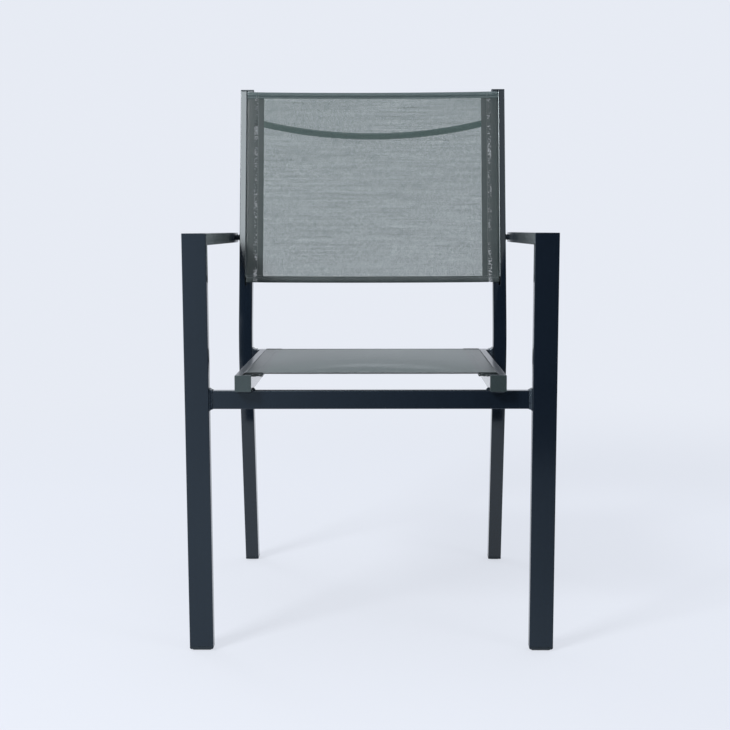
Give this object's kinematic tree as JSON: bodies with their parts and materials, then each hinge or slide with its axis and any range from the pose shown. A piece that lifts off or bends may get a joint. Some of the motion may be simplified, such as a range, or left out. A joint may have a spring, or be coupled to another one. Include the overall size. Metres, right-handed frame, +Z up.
{
  "type": "stacking sling patio armchair",
  "caption": "Stacking outdoor armchair with a welded tube frame, flat armrests, bent back posts, a bowed back bar and woven mesh slings for seat and back.",
  "frame": {"origin": "middle of the bounding box on the floor", "axes": "+Z up, -Y the way the sitter faces, +X to the right of the picture"},
  "size_m": [0.566, 0.61, 0.88],
  "materials": {
    "frame_coat": "dark slate powder coat, satin",
    "plastic_cap": "dark moulded plastic, fine matte",
    "foot_glide": "grey moulded pad",
    "sling_mesh": "see-through woven coated yarn, grey green",
    "keder_rod": "smooth plastic rod"
  },
  "bodies": {
    "root": {"front_leg_left": "frame_coat", "armrest_left": "frame_coat", "back_post_left": "frame_coat", "seat_rail_left": "frame_coat", "arm_weld_left": "frame_coat", "rail_front_bead_left": "frame_coat", "rail_inner_bead_left": "frame_coat", "front_bar_weld_left": "frame_coat", "rear_bar_weld_left": "frame_coat", "bow_bar_weld_left": "frame_coat", "arm_end_cap_left": "plastic_cap", "post_top_cap_left": "plastic_cap", "rail_front_cap_left": "plastic_cap", "foot_cap_front_left": "plastic_cap", "foot_cap_rear_left": "plastic_cap", "foot_glide_front_left": "foot_glide", "foot_glide_rear_left": "foot_glide", "back_keder_left": "keder_rod", "seat_keder_left": "keder_rod", "front_leg_right": "frame_coat", "armrest_right": "frame_coat", "back_post_right": "frame_coat", "seat_rail_right": "frame_coat", "arm_weld_right": "frame_coat", "rail_front_bead_right": "frame_coat", "rail_inner_bead_right": "frame_coat", "front_bar_weld_right": "frame_coat", "rear_bar_weld_right": "frame_coat", "bow_bar_weld_right": "frame_coat", "arm_end_cap_right": "plastic_cap", "post_top_cap_right": "plastic_cap", "rail_front_cap_right": "plastic_cap", "foot_cap_front_right": "plastic_cap", "foot_cap_rear_right": "plastic_cap", "foot_glide_front_right": "foot_glide", "foot_glide_rear_right": "foot_glide", "back_keder_right": "keder_rod", "seat_keder_right": "keder_rod", "front_crossbar": "frame_coat", "rear_crossbar": "frame_coat", "bowed_back_bar": "frame_coat", "back_sling": "sling_mesh", "seat_sling": "sling_mesh"}
  },
  "joints": []
}
